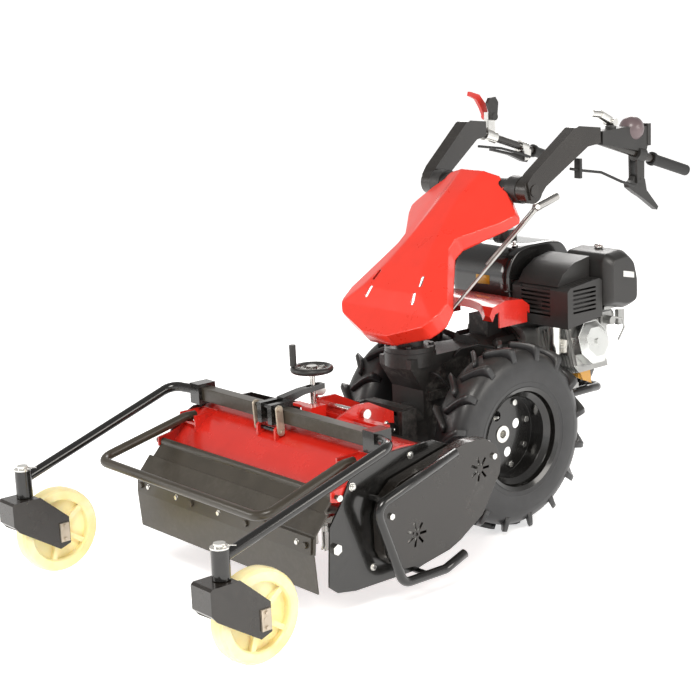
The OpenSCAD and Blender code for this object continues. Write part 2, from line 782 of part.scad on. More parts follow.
module caster_arms() {
  color("#141414") both() {
    difference() {
      union() {
        box([deck_h - 34, bar_y - 30, bar_z - 30], [deck_h + 10, bar_y + 30, bar_z + 30]);
        bent_rod([[deck_h - 10, bar_y, bar_z + 4], [cast_x + 20, -702, 452],
          [cast_x, stem_y + 10, 288]], 14, 44);
        zcyl(236, 312, cast_x, stem_y, 23);
      }
      box([0, bar_y - 19.3, bar_z - 19.3], [deck_h - 1, bar_y + 19.3, bar_z + 19.3]);
      zcyl(200, 340, cast_x, stem_y, 15.06);
    }
  }
}

module fork_shape() {
  difference() {
    side(-40, 40) polygon([[-1283, 168], [-1283, 228], [-1276, 234], [-1196, 234],
      [-1112, 160], [-1112, 84], [-1145, 72], [-1268, 150]]);
    side(-35, 35) polygon([[-1276, 160], [-1276, 228], [-1200, 228], [-1200, 250],
      [-1090, 250], [-1090, 50], [-1145, 50], [-1280, 130]]);
    xcyl(-50, 50, wheel_y, caster_d / 2, 8.02);
  }
  zcyl(228, 325, 0, stem_y, 15);
  zcyl(312.3, 316, 0, stem_y, 24);
  xcyl(-22, 22, stem_y, 320, 2.5);
  translate([0, stem_y - 4, 321]) rotate([0, 0, 40]) xcyl(-6, 44, 0, 0, 1.8);
  xcyl(-46, 46, wheel_y, caster_d / 2, 7.98);
  for (s = [-1, 1]) {
    box([s * 40.2, wheel_y - 13, 92], [s * 45, wheel_y + 15, 146]);
    for (z = [100, 138]) xcyl(s * 45, s * 50, wheel_y + 1, z, 5);
  }
}

module fork_left() {
  color("#171513") translate([cast_x, 0, 0]) fork_shape();
}

module fork_right() {
  color("#171513") translate([-cast_x, 0, 0]) fork_shape();
}

module caster_wheel_shape() {
  r = caster_d / 2;
  rotate([0, 90, 0]) rotate_extrude($fn = 96) polygon([[8.06, -28], [26, -28], [26, -5],
    [r - 34, -5], [r - 34, -20], [r - 30, -25], [r - 8, -25], [r - 2, -18], [r, 0],
    [r - 2, 18], [r - 8, 25], [r - 30, 25], [r - 34, 20], [r - 34, 5], [26, 5], [26, 28],
    [8.06, 28]]);
  for (i = [0 : caster_spokes - 1]) rotate([i * 360 / caster_spokes + 20, 0, 0])
    box([-18, -7, 22], [18, 7, r - 31]);
}

module caster_wheel_left() {
  color("#efe3a4") translate([cast_x, wheel_y, caster_d / 2]) caster_wheel_shape();
}

module caster_wheel_right() {
  color("#efe3a4") translate([-cast_x, wheel_y, caster_d / 2]) caster_wheel_shape();
}

module handwheel() {
  color("#1f1f1c") translate([-30, -533, 0]) {
    zcyl(413, 548, 0, 0, 8);
    translate([0, 0, 541]) rotate_extrude($fn = 72) translate([52, 0]) circle(9, $fn = 24);
    for (a = [90 : 120 : 330]) rotate([0, 0, a]) rod([10, 0, 536], [50, 0, 541], 5);
    zcyl(528, 550, 0, 0, 15);
    zcyl(541, 552, -30, -42, 6);
    zcyl(552, 612, -30, -42, 9.5);
  }
}

module hitch_lever() {
  color("#c9c9c4") {
    xcyl(-86, 86, -440, 412, 8);
    bent_rod([[-92, -440, 412], [-92, -476, 440], [-62, -480, 464]], 5, 10);
    translate([-62, -480, 464]) sphere(r = 15);
    xcyl(80, 92, -440, 412, 14);
    xcyl(-100, -79, -440, 412, 12);
  }
}

// ---- handlebar column ----------------------------------------------------

module column_post() {
  color("#171717") {
    zcyl(541.3, 556, 0, post_y, 74);
    rod([0, post_y + 15, 580], [0, 48, 930], 36);
    zcyl(541.3, 596, 0, post_y, 40);
    rod([0, 30, 902], [0, 64, 956], 46);
    for (a = [45 : 90 : 315]) translate([62 * cos(a), post_y + 62 * sin(a), 556]) bolt(5, 9, 1);
    // guide eye for the selector rod
    difference() {
      box([20, -122, 608], [66, -96, 628]);
      rod([214, 122, 930], [44, -122, 600], 5.08);
    }
  }
}

module column_cover() {
  color("#d8170d") difference() {
    cover_solid(0);
    cover_solid(4);
    // handlebar bracket and knuckles pass here
    xcyl(-134, 134, 98, handle_z, 30.5);
    both() xcyl(132, 230, knuckle_y, handle_z, 42);
    // vent slots
    for (s = [-1, 1], y = [150, 205]) cover_frame() translate([s * 96, y, 0])
      rotate([0, 0, s * 14]) box([-7, -19, -60], [7, 19, 80]);
  }
}

// Local frame of the cover: Y runs up the column and Z points forward.
module cover_frame() {
  translate([0, -370, 620]) rotate([40, 0, 0]) children();
}

// Closed polygon from its right half, listed from the bottom up.
module mirrored(half) {
  polygon(concat(half, [for (i = [len(half) - 1 : -1 : 0]) [-half[i].x, half[i].y]]));
}

// Solid inside the cover's skin: plan, cross-section and side profile, t deep.
module cover_solid(t) {
  cover_frame() intersection() {
    linear_extrude(320, center = true) mirrored([[50, 27 + t], [174 - t, 72], [208 - t, 118],
      [208 - t, 163], [108 - t, 322], [106 - t, 362], [196 - t, 462], [220 - t, 500],
      [206 - t, 522], [101 - t, 612 + t]]);
    translate([0, 700, 0]) rotate([90, 0, 0]) linear_extrude(740) mirrored([[230, -130],
      [230, -28 - t], [108, 12 - t], [60, 27 - t], [26, 42 - t], [1, 46 - t]]);
    rotate([90, 0, 90]) linear_extrude(460, center = true) polygon([[20 + t, -82 - 5 * t],
      [27 + t, -36 - t], [102, -17 - t], [159, 5 - t], [241, 21 - t], [335, 28 - t],
      [439, 35 - t], [523, 38 - t], [620, 32 - t], [620, -32 - 5 * t], [512, -58 - 5 * t],
      [420, -46 - 5 * t], [327, -34 - 5 * t], [200, -52 - 5 * t], [115, -72 - 5 * t]]);
  }
}

module handle_bracket() {
  color("#1a1a19") {
    difference() {
      union() {
        xcyl(-150, 150, 98, handle_z, 27);
        rod([0, 52, 938], [0, 76, 978], 44);
        for (s = [-1, 1]) {
          xcyl(s * 138, s * 180, knuckle_y, handle_z, 40);
          rod([s * 60, 92, handle_z], [s * 140, knuckle_y, handle_z], 31);
        }
        box([-70, 70, 966], [70, 120, 1006]);
      }
      rod([0, 20, 886], [0, 64.4, 956.6], 46.3);
      xcyl(-230, 230, knuckle_y, handle_z, 12.1);
    }
  }
}

module shift_rod() {
  color("#3a3a3a") {
    rod([214, 122, 930], [44, -122, 600], 5);
    rod([202, 128, 934], [120, 10, 775], 4);
    rod([196, 132, 930], [220, 124, 938], 7);
    rod([208, 126, 934], [210, 214, 958], 12);
  }
}

// ---- handlebar -----------------------------------------------------------

// Turns a left arm outward about its knuckle.
module splayed() {
  translate([arm_x, knuckle_y, 0]) rotate([0, 0, -arm_splay])
    translate([-arm_x, -knuckle_y, 0]) children();
}

// Carries what sits on a left handlebar tube, straight behind the arm's end.
module on_tube() {
  translate([243 * sin(arm_splay), -2, 0]) children();
}

module handle_arms() {
  color("#2c2a27") both() {
    difference() {
      union() {
        xcyl(180.3, 218, knuckle_y, handle_z, 38);
        splayed() side(184, 226) polygon([[84, 1010], [104, 1034], [256, 1152], [276, 1158],
          [356, 1148], [356, 1102], [308, 1096], [286, 1082], [150, 994], [128, 966],
          [96, 960]]);
      }
      splayed() side(188, 222) polygon([[104, 1026], [258, 1146], [276, 1152], [360, 1142],
        [360, 1108], [306, 1102], [284, 1088], [150, 1004]]);
    }
    xcyl(139, 226, knuckle_y, handle_z, 12);
    xcyl(218, 228, knuckle_y, handle_z, 19);
    splayed() box([188.3, 344, 1108.3], [221.7, 356.3, 1141.7]);
    on_tube() rod(tube_at(-0.01), tube_at(1), 13);
  }
}

// Point along the handlebar tube, 0 at the arm and 1 at its rear end.
function tube_at(t) = [arm_x + 14 * t, 352 + (bar_l - 22) * t, 1112 - 128 * t];

module grips() {
  color("#191919") both() on_tube() difference() {
    union() {
      rod(tube_at(0.62), tube_at(1.02), 17);
      rod(tube_at(0.61), tube_at(0.64), 21);
    }
    rod(tube_at(0.5), tube_at(1.0005), 13.05);
  }
}

module lever_mounts() {
  // switch block and throttle foot on the left bar
  color("#161414") on_tube() {
    difference() {
      union() {
        side(184, 228) polygon([[360, 1096], [360, 1136], [470, 1140], [560, 1134], [566, 1090],
          [556, 1060], [520, 1064], [400, 1090]]);
        translate([207, 512, 1130]) sphere(r = 38);
        box([186, 559, 1076], [230, 574, 1142]);
        zcyl(1130, 1146, 206, 420, 16);
        rod(tube_at(0.43), tube_at(0.51), 24);
        for (x = [189, 216.4]) side(x, x + 6.6) polygon([[518, 1050], [552, 1040],
          [552, 966], [520, 966]]);
      }
      rod(tube_at(-0.1), tube_at(1), 13.1);
      xcyl(180, 235, 536, 978, 4.1);
    }
  }
  // lever feet on the right bar
  color("#b9bab6") mirror([1, 0, 0]) on_tube() {
    difference() {
      union() {
        rod(tube_at(0.04), tube_at(0.16), 20);
        rod(tube_at(0.45), tube_at(0.53), 19);
        box([196.6, 380, 1106], [215.4, 410, 1174]);
        for (x = [189, 216.4]) side(x, x + 6.6) polygon([[530, 1050], [564, 1040], [560, 1008],
          [536, 1008]]);
      }
      rod(tube_at(-0.1), tube_at(0.8), 13.06);
      xcyl(180, 230, 548, 1020, 4.1);
      xcyl(180, 230, 395, 1160, 5.1);
    }
  }
}

module throttle_lever() {
  color("#8b8b88") on_tube() {
    xcyl(186, 226, 420, 1158, 11.5);
    rod([206, 416, 1162], [206, 372, 1184], 13);
    rod([206, 372, 1184], [206, 332, 1190], 11);
  }
}

module clutch_lever() {
  color("#121212") on_tube() {
    side(196, 216) polygon([[506, 976], [514, 988], [548, 988], [564, 974], [572, 940],
      [626, 884], [620, 874], [550, 920], [520, 936], [490, 956], [488, 968]]);
    xcyl(188, 224, 536, 978, 4);
  }
}

module brake_lever() {
  color("#121212") mirror([1, 0, 0]) on_tube() {
    side(197, 215) polygon([[562, 1010], [558, 1022], [534, 1025], [500, 1034], [400, 1058],
      [398, 1051], [476, 1030], [536, 1004], [552, 1000]]);
    xcyl(188, 224, 548, 1020, 4);
  }
}

module red_lever() {
  color("#c8140c") mirror([1, 0, 0]) on_tube() {
    xcyl(207, 232, 395, 1160, 5);
    xcyl(216, 232, 395, 1160, 12);
    side(219, 231) polygon([[386, 1158], [404, 1164], [392, 1200], [366, 1230], [326, 1242],
      [322, 1229], [352, 1216], [370, 1190]]);
  }
}

module black_lever() {
  color("#151515") mirror([1, 0, 0]) on_tube() {
    xcyl(180, 204, 395, 1160, 5);
    xcyl(180, 196, 395, 1160, 12);
    side(182, 194) polygon([[384, 1160], [406, 1160], [412, 1204], [400, 1222], [376, 1220],
      [366, 1204]]);
  }
}

module handle_cables() {
  color("#141414") {
    on_tube() {
      bent_rod([[230, 500, 962], [230, 440, 980], [212, 370, 1014], [200, 300, 1026],
        [188, 262, 1034]], 4, 16);
      box([184, 284, 1004], [206, 294, 1062]);
    }
    mirror([1, 0, 0]) on_tube() bent_rod([[184, 552, 1018], [182, 500, 1036],
      [182, 420, 1058], [180, 318, 1074]], 4, 16);
  }
}

module frame_bolts() {
  color("#c2c2bd") {
    for (a = [0 : 60 : 300]) translate([0, 0, crank_z]) rotate([0, a + 30, 0])
      translate([121.5, 152.9, 0]) rotate([90, 0, 0]) bolt(4, 7, 0.1);
    for (s = [-1, 1], p = [[-823, 190], [-640, 130], [-400, 330]])
      translate([s * (deck_h + 0.2), p.x, p.y]) rotate([0, 90 * s, 0]) bolt(8, 15, 0.1);
    for (s = [-1, 1], x = [331.5, 378.5]) translate([s * x, -728, 374.8]) bolt(5, 8, 0.1);
    for (p = [[-672, 250], [-300, 330]]) translate([deck_h + 45.1, p.x, p.y])
      rotate([0, 90, 0]) bolt(5, 9, 0.1);
    for (a = [-135 : 45 : 90]) translate([0, 0, axle_z]) rotate([a, 0, 0])
      for (s = [-1, 1]) translate([s * 100.1, 66, 0]) rotate([0, 90 * s, 0]) bolt(4, 8, 0.1);
  }
}

// ---- assembly ------------------------------------------------------------

module placed() {
  translate([0, -mid_y, 0]) children();
}

placed() gearbox_housing();
placed() bell_housing();
placed() engine_block();
placed() valve_cover();
placed() muffler_guard();
placed() exhaust_pipe();
placed() air_cleaner();
placed() fuel_tank();
placed() recoil_cover();
placed() carburettor();
placed() oil_plug();
placed() engine_shroud();
placed() rear_guard_bar();
placed() hitch_coupler();
placed() control_cables();
placed() mower_housing();
placed() side_plates();
placed() mower_gearbox();
placed() belt_cover();
placed() drive_belt();
placed() skid_guard();
placed() bumper();
placed() frame_bolts();
placed() tyre_left();
placed() rim_left();
placed() axle_left();
placed() tyre_right();
placed() rim_right();
placed() axle_right();
placed() crankshaft();
placed() fuel_cap();
placed() starter_grip();
placed() rotor_shaft();
placed() flails();
placed() cross_shaft();
placed() pto_shaft();
placed() front_guard();
placed() guard_flap();
placed() square_bar();
placed() height_arm();
placed() caster_arms();
placed() fork_left();
placed() fork_right();
placed() caster_wheel_left();
placed() caster_wheel_right();
placed() handwheel();
placed() hitch_lever();
placed() column_post();
placed() column_cover();
placed() handle_bracket();
placed() shift_rod();
placed() handle_arms();
placed() grips();
placed() lever_mounts();
placed() throttle_lever();
placed() clutch_lever();
placed() brake_lever();
placed() red_lever();
placed() black_lever();
placed() handle_cables();
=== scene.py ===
import json
import math
import random

import bmesh
import bpy
from mathutils import Matrix, Vector

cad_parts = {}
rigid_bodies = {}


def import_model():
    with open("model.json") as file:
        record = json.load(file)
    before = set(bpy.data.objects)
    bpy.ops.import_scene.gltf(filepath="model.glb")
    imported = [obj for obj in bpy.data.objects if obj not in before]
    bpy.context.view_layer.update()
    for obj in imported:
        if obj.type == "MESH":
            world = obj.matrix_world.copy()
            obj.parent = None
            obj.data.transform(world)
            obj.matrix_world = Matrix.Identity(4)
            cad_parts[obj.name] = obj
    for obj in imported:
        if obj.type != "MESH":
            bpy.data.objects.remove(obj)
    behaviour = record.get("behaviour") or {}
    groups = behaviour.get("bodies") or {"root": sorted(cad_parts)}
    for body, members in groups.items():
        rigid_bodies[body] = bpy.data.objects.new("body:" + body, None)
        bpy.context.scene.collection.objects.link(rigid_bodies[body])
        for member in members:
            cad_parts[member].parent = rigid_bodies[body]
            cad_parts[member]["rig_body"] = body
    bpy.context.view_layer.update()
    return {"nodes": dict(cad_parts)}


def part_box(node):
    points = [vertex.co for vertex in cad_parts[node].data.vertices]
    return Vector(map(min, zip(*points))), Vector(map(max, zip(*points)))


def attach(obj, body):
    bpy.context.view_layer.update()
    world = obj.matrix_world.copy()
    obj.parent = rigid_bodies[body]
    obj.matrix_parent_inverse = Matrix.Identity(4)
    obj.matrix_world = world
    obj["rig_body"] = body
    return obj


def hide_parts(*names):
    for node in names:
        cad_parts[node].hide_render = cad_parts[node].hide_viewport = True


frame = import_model()
NODES = frame["nodes"]
random.seed(7)

# The drive axle's middle, on the floor: sizes below are in millimetres from there.
_lo, _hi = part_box("tyre_left")
AXLE_Y = (_lo.y + _hi.y) / 2
AXLE_Z = (_lo.z + _hi.z) / 2


def P(x, y, z):
    return Vector((x / 1000, y / 1000 + AXLE_Y, z / 1000))


# ---------------------------------------------------------------- materials


def new_material(name):
    m = bpy.data.materials.new(name)
    m.use_nodes = True
    return m, m.node_tree.nodes, m.node_tree.links, m.node_tree.nodes["Principled BSDF"]


def noise(nodes, links, coords, scale, detail=4.0, rough=0.55, distortion=0.0):
    n = nodes.new("ShaderNodeTexNoise")
    n.inputs["Scale"].default_value = scale
    n.inputs["Detail"].default_value = detail
    n.inputs["Roughness"].default_value = rough
    n.inputs["Distortion"].default_value = distortion
    links.new(coords.outputs["Object"], n.inputs["Vector"])
    return n


def ramp(nodes, links, source, stops):
    r = nodes.new("ShaderNodeValToRGB")
    e = r.color_ramp.elements
    e[0].position, e[0].color = stops[0][0], (*stops[0][1], 1)
    e[1].position, e[1].color = stops[-1][0], (*stops[-1][1], 1)
    for pos, col in stops[1:-1]:
        k = e.new(pos)
        k.color = (*col, 1)
    links.new(source, r.inputs["Fac"])
    return r


def span(nodes, links, source, lo, hi, a, b):
    n = nodes.new("ShaderNodeMapRange")
    n.inputs["From Min"].default_value = lo
    n.inputs["From Max"].default_value = hi
    n.inputs["To Min"].default_value = a
    n.inputs["To Max"].default_value = b
    links.new(source, n.inputs["Value"])
    return n.outputs["Result"]


def mix(v, k):
    return tuple(min(1.0, c * k) for c in v)


def surface(
    name,
    color,
    rough=0.4,
    metal=0.0,
    coat=0.0,
    grain=0.12,
    grain_scale=14.0,
    bump=0.15,
    bump_scale=260.0,
    wear=None,
    dust=None,
    spread=0.035,
    spec=0.5,
):
    """Painted, cast or moulded surface: mottled colour, uneven gloss, fine bump, worn edges, dust on top."""
    m, nodes, links, bsdf = new_material(name)
    coords = nodes.new("ShaderNodeTexCoord")
    big = noise(nodes, links, coords, grain_scale, 5.0)
    fine = noise(nodes, links, coords, bump_scale, 3.0, 0.6)
    col = ramp(
        nodes,
        links,
        big.outputs["Fac"],
        [(0.3, mix(color, 1 - grain)), (0.52, color), (0.72, mix(color, 1 + grain))],
    )
    out = col.outputs["Color"]
    if dust is not None:
        geo = nodes.new("ShaderNodeNewGeometry")
        sep = nodes.new("ShaderNodeSeparateXYZ")
        links.new(geo.outputs["Normal"], sep.inputs["Vector"])
        up = span(nodes, links, sep.outputs["Z"], 0.2, 1.0, 0.0, dust[1])
        patch = span(nodes, links, big.outputs["Fac"], 0.35, 0.7, 0.3, 1.0)
        mul = nodes.new("ShaderNodeMath")
        mul.operation = "MULTIPLY"
        links.new(up, mul.inputs[0])
        links.new(patch, mul.inputs[1])
        mx = nodes.new("ShaderNodeMixRGB")
        links.new(mul.outputs[0], mx.inputs["Fac"])
        links.new(out, mx.inputs["Color1"])
        mx.inputs["Color2"].default_value = (*dust[0], 1)
        out = mx.outputs["Color"]
    if wear is not None:
        geo = nodes.new("ShaderNodeNewGeometry")
        edge = span(nodes, links, geo.outputs["Pointiness"], 0.53, 0.6, 0.0, 1.0)
        scratch = noise(nodes, links, coords, 60.0, 6.0, 0.7)
        cut = span(nodes, links, scratch.outputs["Fac"], 0.45, 0.62, 0.0, wear[1])
        mul = nodes.new("ShaderNodeMath")
        mul.operation = "MULTIPLY"
        links.new(edge, mul.inputs[0])
        links.new(cut, mul.inputs[1])
        mx = nodes.new("ShaderNodeMixRGB")
        links.new(mul.outputs[0], mx.inputs["Fac"])
        links.new(out, mx.inputs["Color1"])
        mx.inputs["Color2"].default_value = (*wear[0], 1)
        out = mx.outputs["Color"]
    links.new(out, bsdf.inputs["Base Color"])
    links.new(
        span(nodes, links, big.outputs["Fac"], 0.25, 0.75, rough - spread, rough + spread),
        bsdf.inputs["Roughness"],
    )
    bsdf.inputs["Metallic"].default_value = metal
    bsdf.inputs["Coat Weight"].default_value = coat
    bsdf.inputs["Coat Roughness"].default_value = 0.08
    bsdf.inputs["Specular IOR Level"].default_value = spec
    b = nodes.new("ShaderNodeBump")
    b.inputs["Strength"].default_value = bump
    b.inputs["Distance"].default_value = 0.0006
    links.new(fine.outputs["Fac"], b.inputs["Height"])
    links.new(b.outputs["Normal"], bsdf.inputs["Normal"])
    return m


BARE = (0.42, 0.4, 0.37)
DUST = (0.30, 0.26, 0.20)
M = {
    "red_paint": surface("red_paint", (0.66, 0.022, 0.012), 0.26, coat=0.6, grain=0.06, bump=0.05,
                         bump_scale=90, wear=((0.25, 0.02, 0.015), 0.4)),
    "red_plastic": surface("red_plastic", (0.78, 0.034, 0.016), 0.3, coat=0.25, grain=0.05,
                           bump=0.06, bump_scale=420, spread=0.05),
    "black_paint": surface("black_paint", (0.007, 0.0066, 0.006), 0.2, coat=0.5, grain=0.15,
                           bump=0.05, bump_scale=120, wear=(BARE, 0.06)),
    "olive_paint": surface("olive_paint", (0.036, 0.029, 0.019), 0.36, coat=0.12, grain=0.08,
                           bump=0.06, bump_scale=240, wear=(BARE, 0.06), dust=(DUST, 0.05)),
    "cast_black": surface("cast_black", (0.018, 0.017, 0.016), 0.46, coat=0.1, grain=0.3, bump=0.5,
                          bump_scale=420, wear=(BARE, 0.15)),
    "cast_alloy": surface("cast_alloy", (0.42, 0.42, 0.41), 0.42, metal=0.9, grain=0.15, bump=0.4,
                          bump_scale=520),
    "bright_alloy": surface("bright_alloy", (0.72, 0.73, 0.71), 0.28, metal=0.95, grain=0.08,
                            bump=0.12, bump_scale=300),
    "steel": surface("steel", (0.5, 0.49, 0.47), 0.3, metal=1.0, grain=0.12, bump=0.15),
    "zinc": surface("zinc", (0.74, 0.73, 0.70), 0.22, metal=1.0, grain=0.1, bump=0.1,
                    grain_scale=60),
    "black_plastic": surface("black_plastic", (0.022, 0.021, 0.02), 0.4, coat=0.05, grain=0.15,
                             bump=0.25, bump_scale=700),
    "gloss_black": surface("gloss_black", (0.011, 0.0105, 0.010), 0.16, coat=0.7, grain=0.2,
                           bump=0.03, bump_scale=60),
    "brown_black": surface("brown_black", (0.014, 0.011, 0.0085), 0.26, coat=0.4, grain=0.12,
                           bump=0.05, bump_scale=200, wear=(BARE, 0.05)),
    "rubber": surface("rubber", (0.014, 0.014, 0.014), 0.55, grain=0.2, bump=0.3, bump_scale=500),
    "tyre": surface("tyre", (0.020, 0.020, 0.021), 0.38, coat=0.08, grain=0.3, grain_scale=22,
                    bump=0.35, bump_scale=330, dust=(DUST, 0.08)),
    "amber": surface("amber", (0.55, 0.27, 0.03), 0.25, coat=0.4, grain=0.2, bump=0.05),
    "mauve": surface("mauve", (0.12, 0.085, 0.09), 0.36, coat=0.3, grain=0.15, bump=0.12),
    "warm_grey": surface("warm_grey", (0.50, 0.43, 0.34), 0.38, metal=0.6, grain=0.15, bump=0.2,
                         wear=(BARE, 0.4)),
    "yellow_label": surface("yellow_label", (0.62, 0.33, 0.02), 0.4, grain=0.1, bump=0.02),
    "white_label": surface("white_label", (0.75, 0.75, 0.73), 0.35, grain=0.04, bump=0.02),
    "clear_red": surface("clear_red", (0.6, 0.03, 0.02), 0.35, coat=0.2, grain=0.1, bump=0.1),
}


def nylon():
    m, nodes, links, bsdf = new_material("cream_nylon")
    coords = nodes.new("ShaderNodeTexCoord")
    n = noise(nodes, links, coords, 9.0, 4.0)
    col = ramp(nodes, links, n.outputs["Fac"],
               [(0.3, (0.86, 0.70, 0.30)), (0.5, (0.92, 0.80, 0.42)), (0.7, (0.95, 0.88, 0.56))])
    links.new(col.outputs["Color"], bsdf.inputs["Base Color"])
    bsdf.inputs["Roughness"].default_value = 0.34
    bsdf.inputs["Subsurface Weight"].default_value = 0.35
    bsdf.inputs["Subsurface Radius"].default_value = (0.012, 0.009, 0.003)
    bsdf.inputs["Subsurface Scale"].default_value = 1.0
    fine = noise(nodes, links, coords, 300.0, 3.0)
    b = nodes.new("ShaderNodeBump")
    b.inputs["Strength"].default_value = 0.08
    b.inputs["Distance"].default_value = 0.0005
    links.new(fine.outputs["Fac"], b.inputs["Height"])
    links.new(b.outputs["Normal"], bsdf.inputs["Normal"])
    return m


M["nylon"] = nylon()

# ---------------------------------------------------------------- piece making


def link(name, mesh, mat, body, smooth=True):
    o = bpy.data.objects.new(name, mesh)
    bpy.context.scene.collection.objects.link(o)
    if mat is not None:
        mesh.materials.clear()
        mesh.materials.append(mat)
    if smooth:
        for p in mesh.polygons:
            p.use_smooth = True
    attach(o, body)
    return o


def soften(o, width, segments=2, angle=32):
    bev = o.modifiers.new("bevel", "BEVEL")
    bev.width = width
    bev.segments = segments
    bev.limit_method = "ANGLE"
    bev.angle_limit = math.radians(angle)
    bev.use_clamp_overlap = True
    bev.harden_normals = False
    wn = o.modifiers.new("weighted", "WEIGHTED_NORMAL")
    wn.keep_sharp = True
    return o


def skin(node, mat, width=0.0012, segments=2, angle=32):
    """Finished copy of a CAD solid: merged, edges rounded, shaded smooth."""
    src = NODES[node]
    mesh = src.data.copy()
    bm = bmesh.new()
    bm.from_mesh(mesh)
    bmesh.ops.remove_doubles(bm, verts=bm.verts, dist=2e-5)
    bmesh.ops.dissolve_limit(bm, angle_limit=math.radians(0.6), verts=bm.verts, edges=bm.edges,
                             use_dissolve_boundaries=False, delimit=set())
    bm.to_mesh(mesh)
    bm.free()
    for a in ("custom_normal", "sharp_face", "sharp_edge"):
        if a in mesh.attributes:
            mesh.attributes.remove(mesh.attributes[a])
    o = link(node + "_skin", mesh, mat, src["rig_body"])
    soften(o, width, segments, angle)
    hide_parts(node)
    return o


# ---------------------------------------------------------------- mesh building, in millimetres


def to_row(bm):
    """Millimetres about the axle point on the floor become metres in the row's frame."""
    bmesh.ops.transform(bm, matrix=Matrix.Translation((0, AXLE_Y, 0)) @ Matrix.Scale(0.001, 4),
                        verts=bm.verts)


def piece(name, bm, mat, body, bevel=0.0, segments=2, angle=32, replaces=()):
    to_row(bm)
    bmesh.ops.recalc_face_normals(bm, faces=bm.faces)
    mesh = bpy.data.meshes.new(name)
    bm.to_mesh(mesh)
    bm.free()
    o = link(name, mesh, mat, body)
    if bevel:
        soften(o, bevel / 1000, segments, angle)
    if replaces:
        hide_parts(*replaces)
    return o


def body_of(node):
    return NODES[node]["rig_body"]


def loft(bm, rings, closed=True, caps=True):
    """Skins a list of point rings."""
    rows = [[bm.verts.new(p) for p in ring] for ring in rings]
    n = len(rows[0])
    for a, b in zip(rows, rows[1:]):
        for i in range(n if closed else n - 1):
            j = (i + 1) % n
            bm.faces.new((a[i], a[j], b[j], b[i]))
    if caps and closed:
        bm.faces.new(list(reversed(rows[0])))
        bm.faces.new(rows[-1])
    return rows


def round_path(points, bend, step=12.0):
    pts = [Vector(p) for p in points]
    out = [pts[0]]
    for p, q, s in zip(pts, pts[1:], pts[2:]):
        a, b = (p - q).normalized(), (s - q).normalized()
        inside = a.angle(b)
        turn = math.pi - inside
        c = q + (a + b).normalized() * bend / math.sin(inside / 2)
        ex = (q + a * bend / math.tan(inside / 2) - c).normalized()
        n = max(2, math.ceil(math.degrees(turn) / step))
        for k in range(n + 1):
            out.append(c + bend * (math.cos(turn * k / n) * ex - math.sin(turn * k / n) * a))
    out.append(pts[-1])
    return out


def sweep(bm, points, r, bend=0.0, ring=20, ends=1.5):
    """Round bar along a path with its corners bent and its end faces chamfered."""
    path = round_path(points, bend) if bend else [Vector(p) for p in points]
    tang = []
    for i, p in enumerate(path):
        q = path[min(i + 1, len(path) - 1)] - path[max(i - 1, 0)]
        tang.append(q.normalized())
    side = tang[0].orthogonal().normalized()
    rings = []
    for i, p in enumerate(path):
        if i:
            side = (side - tang[i] * side.dot(tang[i])).normalized()
        other = tang[i].cross(side)
        spec = [(p, r)]
        if ends and i == 0:
            spec = [(p, r - ends), (p + tang[0] * ends, r)]
        if ends and i == len(path) - 1:
            spec = [(p - tang[-1] * ends, r), (p, r - ends)]
        for c, rr in spec:
            rings.append([c + rr * (math.cos(2 * math.pi * k / ring) * side
                                    + math.sin(2 * math.pi * k / ring) * other) for k in range(ring)])
    loft(bm, rings)


def frame_on(axis):
    z = Vector(axis).normalized()
    x = z.orthogonal().normalized()
    return x, z.cross(x), z


def lathe(bm, profile, at, axis, seg=64, closed=False, start=None):
    """Turns (radius, distance along the axis) points about an axis through a point."""
    x, y, z = frame_on(axis)
    if start is not None:
        x = Vector(start)
        y = z.cross(x)
    at = Vector(at)
    rows = []
    for k in range(seg):
        a = 2 * math.pi * k / seg
        d = math.cos(a) * x + math.sin(a) * y
        rows.append([bm.verts.new(at + z * t + d * r) if r > 1e-6 else None for r, t in profile])
    poles = {i: bm.verts.new(at + z * t) for i, (r, t) in enumerate(profile) if r <= 1e-6}
    n = len(profile)
    for k in range(seg):
        a, b = rows[k], rows[(k + 1) % seg]
        for i in range(n if closed else n - 1):
            j = (i + 1) % n
            quad = [a[i] or poles.get(i), b[i] or poles.get(i), b[j] or poles.get(j),
                    a[j] or poles.get(j)]
            quad = [v for i2, v in enumerate(quad) if v is not quad[i2 - 1]]
            if len(quad) > 2:
                bm.faces.new(quad)


def disc(bm, at, axis, r, h, seg=32, chamfer=1.0):
    lathe(bm, [(0, 0), (r, 0), (r, h - chamfer), (r - chamfer, h), (0, h)], at, axis, seg)


def hex_bolt(bm, at, axis, r, h=None, washer=True, stud=0.0):
    h = h or r * 0.62
    at = Vector(at)
    z = Vector(axis).normalized()
    if washer:
        disc(bm, at, z, r * 1.25, 1.4, 28, 0.3)
        at = at + z * 1.2
    x, y, z = frame_on(axis)
    def ring(rr, t):
        return [at + z * t + rr * (math.cos(math.pi * k / 3) * x + math.sin(math.pi * k / 3) * y)
                for k in range(6)]
    loft(bm, [ring(r, 0), ring(r, h * 0.82), ring(r * 0.86, h)])
    if stud:
        disc(bm, at + z * h * 0.9, z, r * 0.5, stud, 16, 0.5)


def slab(bm, poly, lo, hi, view="side"):
    """Extrudes a polygon: side is (y, z) along X, front is (x, z) along Y, top is (x, y) along Z."""
    def at(p, t):
        return {"side": (t, p[0], p[1]), "front": (p[0], t, p[1]), "top": (p[0], p[1], t)}[view]
    loft(bm, [[at(p, lo) for p in poly], [at(p, hi) for p in poly]])


def block(bm, a, b):
    slab(bm, [(a[0], a[1]), (b[0], a[1]), (b[0], b[1]), (a[0], b[1])], a[2], b[2], "top")


